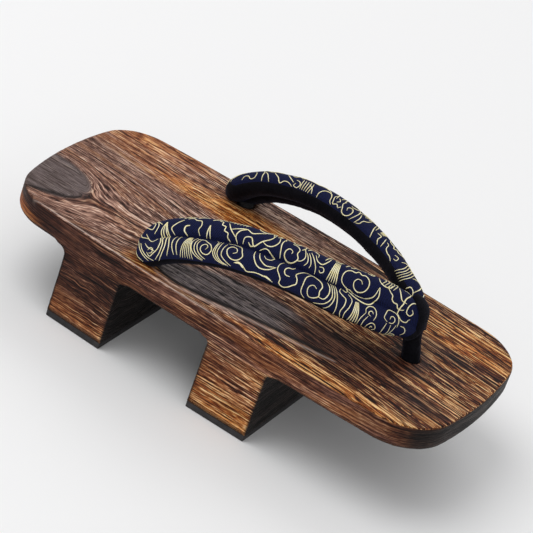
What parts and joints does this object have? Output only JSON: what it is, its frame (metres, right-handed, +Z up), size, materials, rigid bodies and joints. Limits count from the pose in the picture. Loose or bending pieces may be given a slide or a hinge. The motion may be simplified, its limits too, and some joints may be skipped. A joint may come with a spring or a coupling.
{
  "type": "geta sandal",
  "caption": "Flat wooden sandal raised on cross teeth, with a padded brocade thong strap over a brushed, charred footbed and rubber treads.",
  "frame": {"origin": "on the ground under the middle of the sole", "axes": "+X from heel to toe, +Z up from the ground to the footbed, +Y to the side so that the frame is right handed"},
  "size_m": [0.27, 0.125, 0.0983],
  "materials": {
    "charred_wood": "charred and wire brushed paulownia, oiled",
    "tread_rubber": "matt moulded rubber",
    "strap_brocade": "dark blue cotton with woven pale gold lines over black velvet",
    "thong_velvet": "black velvet",
    "tie_cord": "knotted twisted cord"
  },
  "bodies": {
    "root": {"sole_block": "charred_wood", "tread_pad_rear": "tread_rubber", "tread_pad_front": "tread_rubber", "strap": "strap_brocade", "toe_thong": "thong_velvet", "knot_front": "tie_cord", "knot_rear_left": "tie_cord", "knot_rear_right": "tie_cord"}
  },
  "joints": []
}
